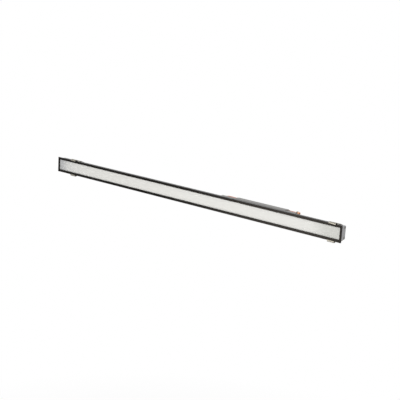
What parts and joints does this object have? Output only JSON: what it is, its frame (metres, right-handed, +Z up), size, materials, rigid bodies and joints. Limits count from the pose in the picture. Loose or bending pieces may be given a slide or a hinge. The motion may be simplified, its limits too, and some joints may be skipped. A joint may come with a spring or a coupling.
{
  "type": "linear wall washer light",
  "caption": "Long slim outdoor wall washer: black frame, opal front, driver tray behind, spring clips on tilting wall brackets.",
  "frame": {"origin": "the wall plane, midway along the light at the height of its centre line", "axes": "+X along the light to the right as seen from the front, +Y into the wall, +Z up"},
  "size_m": [1, 0.0532, 0.0569],
  "materials": {
    "black_anodised": "satin black anodised",
    "cast_grey": "satin grey powder coat",
    "opal": "opal",
    "silicone": "matt",
    "stainless": "rolled",
    "plated_steel": "zinc plated",
    "board_white": "solder mask",
    "diode": "phosphor",
    "reflector_white": "gloss",
    "thermal_grey": "matt",
    "tray_grey": "satin powder coat",
    "driver_silver": "satin anodised",
    "board_green": "solder mask",
    "component_dark": "matt",
    "cable_brown": "matt silicone",
    "bush_black": "matt",
    "bush_grey": "matt",
    "inlet_orange": "gloss",
    "contact_brass": "bright",
    "moulding_black": "fine grain"
  },
  "bodies": {
    "wall": {"wall_bracket_left": "stainless", "wall_bracket_right": "stainless", "pivot_bolts": "plated_steel", "pivot_washers": "bush_black", "pivot_nuts": "plated_steel"},
    "clips": {"clip_left": "stainless", "clip_right": "stainless", "tilt_arm_left": "stainless", "tilt_arm_right": "stainless", "clip_rivets": "plated_steel"},
    "luminaire": {"housing_profile": "black_anodised", "frame_rail_top": "black_anodised", "frame_rail_bottom": "black_anodised", "frame_bar_left": "black_anodised", "frame_bar_right": "black_anodised", "frame_screws": "plated_steel", "diffuser": "opal", "diffuser_gasket": "silicone", "end_cap_left": "cast_grey", "end_cap_right": "cast_grey", "end_gasket_left": "silicone", "end_gasket_right": "silicone", "end_cap_screws": "stainless", "thermal_pad": "thermal_grey", "led_board_1": "board_white", "led_board_2": "board_white", "led_board_3": "board_white", "led_board_4": "board_white", "led_row_1": "diode", "led_row_2": "diode", "led_row_3": "diode", "led_row_4": "diode", "reflector_top": "reflector_white", "reflector_bottom": "reflector_white", "driver_tray": "tray_grey", "tray_screws": "plated_steel", "driver_case": "driver_silver", "driver_end_left": "driver_silver", "driver_end_right": "driver_silver", "driver_board": "board_green", "driver_components": "component_dark", "driver_screws": "plated_steel", "driver_grommet_left": "bush_grey", "driver_grommet_right": "bush_grey", "output_cable": "cable_brown", "input_cable": "cable_brown", "mains_inlet": "inlet_orange", "inlet_pins": "contact_brass", "inlet_nut": "plated_steel", "cable_entry": "moulding_black", "breather_vent": "moulding_black"}
  },
  "joints": [
    {"name": "tilt", "type": "hinge", "parent": "wall", "child": "clips", "pos_m": [0, -0.01, -0.012], "axis": [1, 0, 0], "range_deg": [-7, 60]},
    {"name": "luminaire_slide", "type": "slide", "parent": "clips", "child": "luminaire", "axis": [1, 0, 0], "range_m": [-0.012, 0.025]}
  ]
}
